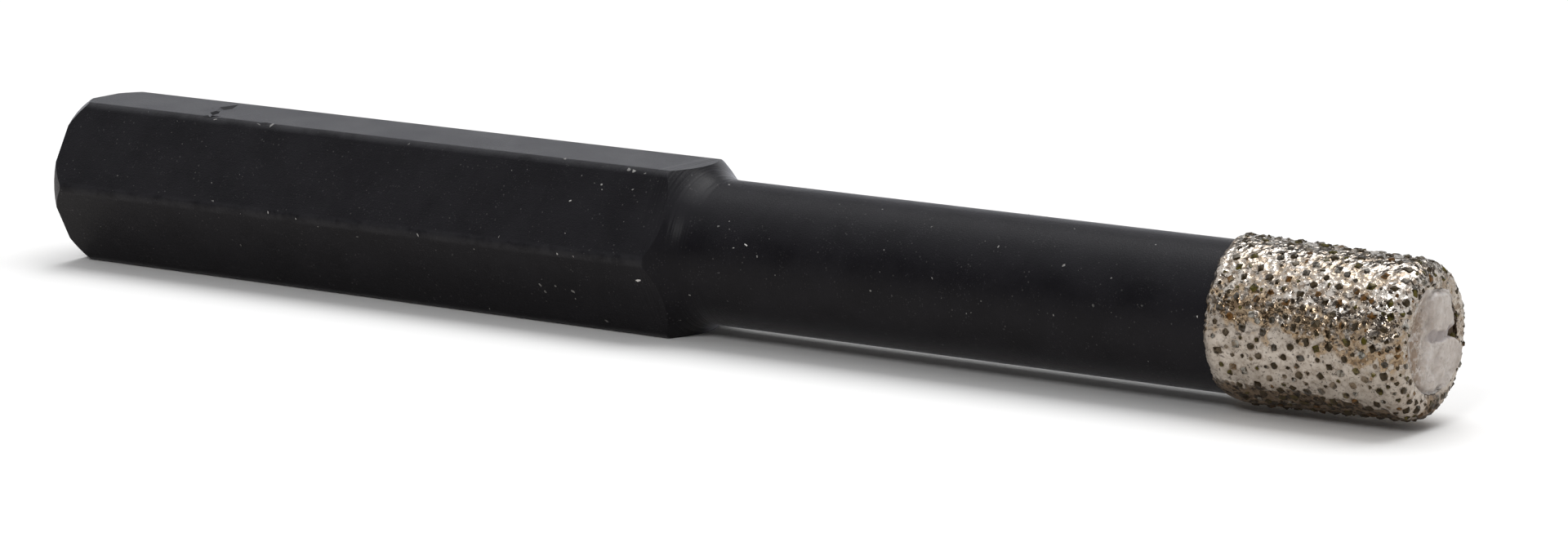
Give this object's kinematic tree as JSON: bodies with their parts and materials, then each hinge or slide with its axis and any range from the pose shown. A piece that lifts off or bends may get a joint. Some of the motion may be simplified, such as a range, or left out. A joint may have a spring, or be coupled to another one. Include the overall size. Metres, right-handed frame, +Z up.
{
  "type": "diamond drill bit",
  "caption": "Short dry-cutting diamond core bit: black hexagon shank turned down to a round neck, with a nickel-brazed diamond tip and a wax-filled bore.",
  "frame": {"origin": "on the bit's axis, at the flat back end of the hexagon shank", "axes": "+X along the axis to the cutting tip, +Z up, square to the shank flat that the bit lies on"},
  "size_m": [0.0751, 0.009, 0.008],
  "materials": {
    "black_steel": "matte black, with fine turning marks and pale dust",
    "nickel_braze": "bright, lumpy, as it froze round the crystals",
    "diamond": "clear to olive, faceted",
    "wax": "cloudy white, chipped at the face"
  },
  "bodies": {
    "root": {"steel_body": "black_steel", "braze_coat": "nickel_braze", "diamond_grit": "diamond", "wax_core": "wax"}
  },
  "joints": []
}
